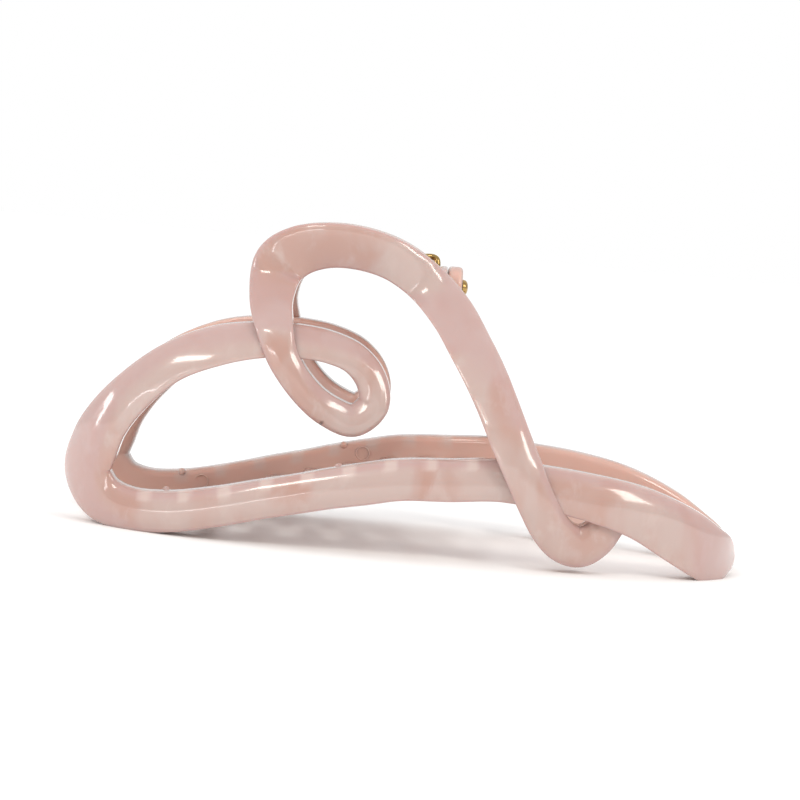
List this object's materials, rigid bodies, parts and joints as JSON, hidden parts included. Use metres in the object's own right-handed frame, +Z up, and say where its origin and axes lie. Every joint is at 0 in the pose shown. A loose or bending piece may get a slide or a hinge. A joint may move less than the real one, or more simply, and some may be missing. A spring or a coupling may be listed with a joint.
{
  "type": "claw clip",
  "caption": "Looped-ribbon hair claw: two bowed jaws with inward teeth turn on a short sprung pin and open when the upper loops are squeezed.",
  "frame": {"origin": "centre of the bounding box at the level the closed clip stands on", "axes": "+X along the clip, towards the tails; +Y towards the rear jaw; +Z up, towards the finger loops"},
  "size_m": [0.1115, 0.0486, 0.0519],
  "materials": {
    "rose_resin": "gloss",
    "gold_wire": "polished"
  },
  "bodies": {
    "rear": {"rear_jaw": "rose_resin", "hinge_pin": "gold_wire", "torsion_spring": "gold_wire"},
    "front": {"front_jaw": "rose_resin"}
  },
  "joints": [
    {"name": "jaw_hinge", "type": "hinge", "parent": "rear", "child": "front", "pos_m": [0.003, 0, 0.04318], "axis": [-1, 0, 0], "range_deg": [0, 65], "stiffness_Nm_per_rad": 0.15, "springref_deg": -34.38, "deforming": ["torsion_spring"]}
  ]
}
